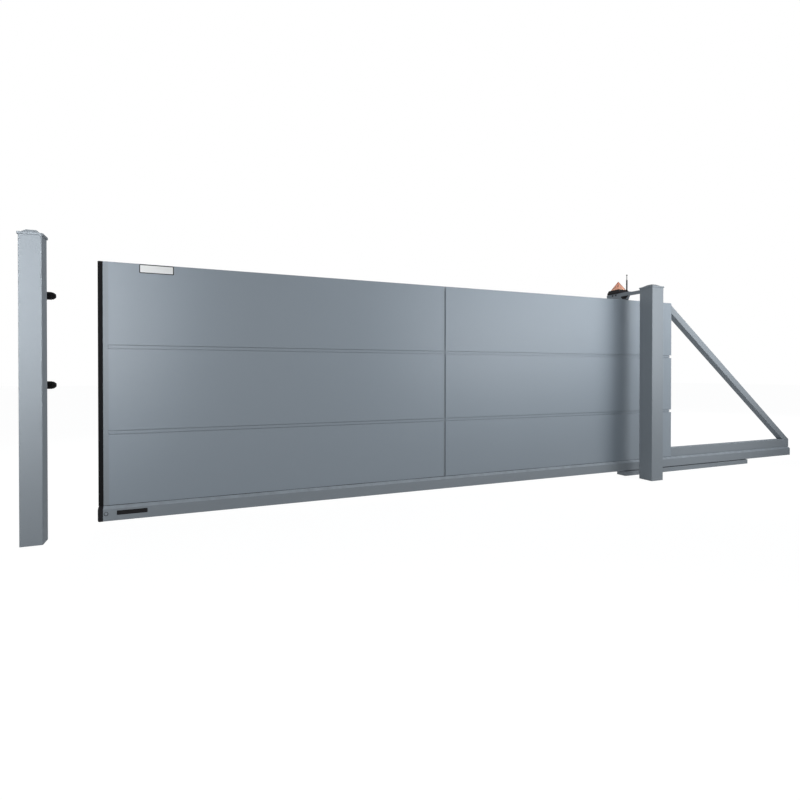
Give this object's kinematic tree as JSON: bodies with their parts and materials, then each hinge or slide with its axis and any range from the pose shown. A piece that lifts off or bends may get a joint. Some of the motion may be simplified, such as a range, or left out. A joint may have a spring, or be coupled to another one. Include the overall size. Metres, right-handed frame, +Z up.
{
  "type": "sliding driveway gate",
  "caption": "Cantilever sliding driveway gate: a leaf of stacked boards on a hollow rail over roller carriages, with guide and catch posts, warning lamp and braced tail.",
  "frame": {"origin": "middle of the carriage base's underside on the ground, in the leaf's middle plane", "axes": "+X along the gate towards its opened side, +Y away from the street, +Z up"},
  "size_m": [6.658, 0.515, 1.789],
  "materials": {
    "frame_paint": "fine satin powder coat, blue-grey",
    "panel_paint": "smooth satin coat on sheet, blue-grey",
    "black_rubber": "matt rubber",
    "black_plastic": "moulded, fine grain",
    "amber_lens": "clear moulded, ribbed inside",
    "bare_steel": "zinc-coated steel",
    "roller_nylon": "turned nylon"
  },
  "bodies": {
    "posts_and_base": {"catch_post": "frame_paint", "catch_post_cap": "frame_paint", "guide_post": "frame_paint", "guide_post_cap": "frame_paint", "catch_brackets": "frame_paint", "carriage_base": "frame_paint", "guide_bracket": "frame_paint", "catch_buffers": "black_rubber", "lamp_base": "black_plastic", "aerial": "black_plastic", "guide_block": "black_plastic", "lamp_lens": "amber_lens", "front_carriage": "bare_steel", "rear_carriage": "bare_steel", "carriage_wheels": "roller_nylon"},
    "leaf": {"guide_rail": "frame_paint", "rail_front_cap": "black_plastic", "rail_tail_cap": "frame_paint", "lower_left_panel": "panel_paint", "lower_right_panel": "panel_paint", "middle_left_panel": "panel_paint", "middle_right_panel": "panel_paint", "upper_left_panel": "panel_paint", "upper_right_panel": "panel_paint", "leading_stile": "frame_paint", "centre_stile": "frame_paint", "leading_rubber": "black_rubber", "top_channel": "frame_paint", "tail_beam": "frame_paint", "tail_brace": "frame_paint"}
  },
  "joints": [
    {"name": "leaf_slide", "type": "slide", "parent": "posts_and_base", "child": "leaf", "axis": [1, 0, 0], "range_m": [-0.202, 4]}
  ]
}
